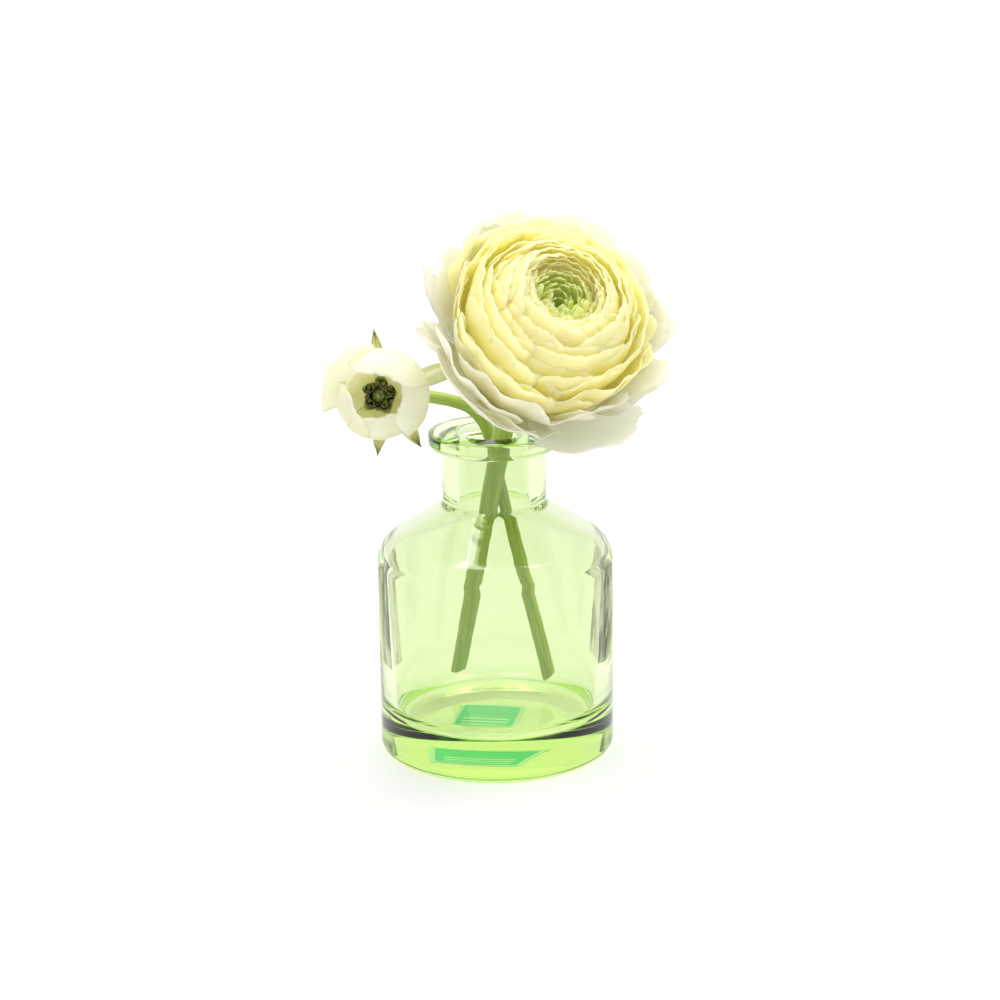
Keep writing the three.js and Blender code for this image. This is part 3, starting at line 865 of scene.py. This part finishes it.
def bud():
    for k, (side, azimuth, half, profile, warmth, ways) in enumerate(BUD_PETALS):
        settings = dict(tip_cut=0.14, round_off=3.0, ruffle=0.35, waves=1.4, scallop=0.5, across=26, along=24,
                        bulge=0.5, thickness=0.24,
                        grade=lambda s, u: 0.25 * (1 - u) - 0.1 * u)
        settings.update(ways)
        piece = petal(f"bud_petal_{side}_fine", BUD_FRAME, profile, azimuth, half, 800 + k, warmth,
                      **settings)
        finished(piece, "bud", BUD_PETAL, "bud_petal", f"bud_petal_{side}")
    for i in range(3):
        profile = ((2, 2.4), (6.5, 4.2), (10.6, 9), (9.4, 15.8))
        piece = petal(f"bud_petal_inner_{i + 1}_fine", BUD_FRAME, profile, 40 + 120 * i, 66, 820 + i, 0.7,
                      tip_cut=0.16, ruffle=0.5, scallop=0.8, lean=0.5, across=24, along=20,
                      grade=lambda s, u: 0.3 * (1 - u))
        finished(piece, "bud", BUD_PETAL, "bud_petal", f"bud_petal_inner_{i + 1}")
    for k, (side, azimuth, half, tip) in enumerate(BUD_SEPALS):
        profile = ((2.6, -0.6), (9, -1.6), (tip[0] - 3, -1.0), tip)
        piece = petal(f"bud_sepal_{side}_fine", BUD_FRAME, profile, azimuth, half, 840 + k, 0.0, tip_cut=0.04,
                      narrow=0.95, ruffle=1.0, scallop=0.2, lean=0.4, across=12, along=26, thickness=0.3,
                      bulge=0.8, sag=1.6, curl=1.0)
        finished(piece, "bud", SEPAL_SKIN, "sepal", f"bud_sepal_{side}")
    receptacle("bud_receptacle_fine", BUD_FRAME, ((1.9, -2.3), (2.9, -2.0), (2.9, 0.8), (1.0, 1.6)), "bud",
               "bud_receptacle")
    beaded_knob("bud_carpel_button", BUD_FRAME, ((0.6, 2.4), (1.6, 4), (3.0, 11.6), (0.2, 12.4)), 90, 0.3,
                "bud", BUD_BUTTON, "heart", "bud_button", 31)
    # a dark ring of young stamens crowds round the button, with a star of small leaves behind it
    rng = random.Random(5)
    threads = []
    for i in range(54):
        a = i * GOLDEN_TURN
        head = rng.uniform(2.5, 3.9)
        profile = ((2.0, 3), (head + 0.9, 5), (head + 0.7, 9), (head - 0.3, rng.uniform(10.6, 12.6)))
        threads.append(petal(f"thread_{i}", BUD_FRAME, profile, math.degrees(a), 7, 860 + i, 0.0, tip_cut=0.1,
                             ruffle=0.2, scallop=0.1, lean=0.0, across=3, along=8, thickness=0.5, bulge=0.2))
    finished(joined(threads, "bud_stamens"), "bud", BUD_RING, "heart")
    star = []
    for i, azimuth in enumerate((8, 82, 150, 222, 296)):
        profile = ((2.4, 3.4), (4.0, 5.5), (4.8, 8.4), (rng.uniform(5.2, 6.2), 10.6))
        star.append(petal(f"ray_{i}", BUD_FRAME, profile, azimuth, 34, 930 + i, 0.0, tip_cut=0.1, narrow=0.85,
                          ruffle=0.2, scallop=0.2, lean=0.2, across=8, along=10, thickness=0.3, bulge=0.2))
    finished(joined(star, "bud_inner_star"), "bud", BUD_STAR, "heart")


# ---- Build ----------------------------------------------------------------------------------------
bottle()
foot_label()
stem("bloom_stem_fine", BLOOM_STEM, (2.3, 2.95), "bloom", "bloom_stem", 3.0)
stem("bud_stem_fine", BUD_STEM, (2.15, 1.85), "bud", "bud_stem", 8.0)
for number, (name, level, count, first, half, warmth) in enumerate(WHORLS):
    whorl(name, level, count, first, half, warmth, number)
guards()
heart()
beaded_knob("bloom_pistil_beads", BLOOM_FRAME, ((0.8, 8), (1.8, 10), (3.4, 20), (0.3, 21)), 40, 0.45, "bloom",
            HEART_KNOT, "heart", "bloom_pistil", 21)
receptacle("bloom_receptacle_fine", BLOOM_FRAME, ((3.0, -8.0), (7.4, -5.4), (6.4, 4), (1.2, 7.4)), "bloom",
           "bloom_receptacle")
bloom_sepals()
bud()


# ---- Set ------------------------------------------------------------------------------------------
def plain_surface(name, colour, far_colour, roughness):
    f = Finish(name)
    away = f.get("ShaderNodeVectorMath", {"operation": "LENGTH"}, {0: f.place()}, output="Value")
    base = f.blend(colour, far_colour, f.ranged(away, 0.45, 1.6))
    return f.close(f.get("ShaderNodeBsdfPrincipled", inputs={"Base Color": base, "Roughness": roughness}))


def card(name, at, size, facing, finish):
    """A flat card that the glass sees and the camera doesn't."""
    deselect()
    bpy.ops.mesh.primitive_plane_add(size=1)
    piece = bpy.context.object
    piece.name = name
    turn = (Vector(facing) - Vector(at)).to_track_quat("Z", "Y").to_matrix().to_4x4()
    piece.data.transform(Matrix.Translation(Vector(at)) @ turn @ Matrix.Diagonal((*size, 1, 1)))
    piece.data.materials.append(finish)
    return piece


def light(name, at, aim, size, power):
    lamp = bpy.data.lights.new(name, "AREA")
    lamp.shape = "RECTANGLE"
    lamp.size, lamp.size_y = size
    lamp.energy = power
    piece = bpy.data.objects.new(name, lamp)
    bpy.context.collection.objects.link(piece)
    piece.location = at
    piece.rotation_euler = (Vector(aim) - Vector(at)).to_track_quat("-Z", "Y").to_euler()
    return piece


deselect()
bpy.ops.mesh.primitive_plane_add(size=6, location=(0, 0, -0.0001))
floor = bpy.context.object
floor.name = "pale_floor"
floor.data.materials.append(plain_surface("pale_floor_paint", (0.74, 0.74, 0.74), (0.95, 0.95, 0.95), 0.8))

cloth = Finish("mottled_grey_cloth")
patch = cloth.ranged(cloth.noise(cloth.place(), 55.0, 2.0), 0.42, 0.6)
dark_cloth = cloth.close(cloth.get("ShaderNodeBsdfPrincipled", inputs={
    "Base Color": cloth.blend((0.1, 0.11, 0.1), (0.62, 0.62, 0.6), patch), "Roughness": 0.8,
}))
for name, at, size in (
    ("dark_card_left", (-0.068, 0.06, 0.024), (0.045, 0.046)),
    ("dark_card_right", (0.072, 0.06, 0.027), (0.055, 0.052)),
):
    piece = card(name, at, size, (0, 0, at[2]), dark_cloth)
    piece.visible_camera = False
    piece.visible_diffuse = False
    piece.visible_shadow = False

light("window_left", (-0.19, -0.14, 0.88), (-0.1, 0.0, 0), (0.36, 0.3), 1.6)
light("window_right", (0.33, -0.08, 0.85), (0.1, 0, 0), (0.3, 0.3), 1.5)
light("skylight_left", (-0.14, 0.14, 0.88), (-0.02, 0.0, 0), (0.34, 0.2), 1.4)
light("skylight_right", (0.26, 0.2, 0.85), (0.02, 0, 0), (0.3, 0.2), 1.3)

world = bpy.data.worlds.new("white_room")
bpy.context.scene.world = world
world.use_nodes = True
world.node_tree.nodes["Background"].inputs["Color"].default_value = (1, 1, 1, 1)
world.node_tree.nodes["Background"].inputs["Strength"].default_value = 1.05

# ---- Camera ---------------------------------------------------------------------------------------
DISTANCE, PITCH, AIM_Z, ROLL = 0.8, math.radians(15.9), 0.0767, math.radians(0.75)
lens = bpy.data.cameras.new("camera")
lens.lens = 97.63
lens.sensor_width = 36
lens.shift_x = 0.0056
lens.clip_start = 0.01
camera = bpy.data.objects.new("camera", lens)
bpy.context.collection.objects.link(camera)
ahead = Vector((0, math.cos(PITCH), -math.sin(PITCH)))
right, up = Vector((1, 0, 0)), Vector((0, math.sin(PITCH), math.cos(PITCH)))
right, up = right * math.cos(ROLL) - up * math.sin(ROLL), right * math.sin(ROLL) + up * math.cos(ROLL)
camera.matrix_world = Matrix.Translation(Vector((0, 0, AIM_Z)) - ahead * DISTANCE) \
    @ Matrix((right, up, -ahead)).transposed().to_4x4()
bpy.context.scene.camera = camera

view = bpy.context.scene.view_settings
view.view_transform = "Standard"
view.look = "None"
paths = bpy.context.scene.cycles
paths.max_bounces = 32
paths.diffuse_bounces = 24
paths.glossy_bounces = 8
paths.transmission_bounces = 32

deselect()
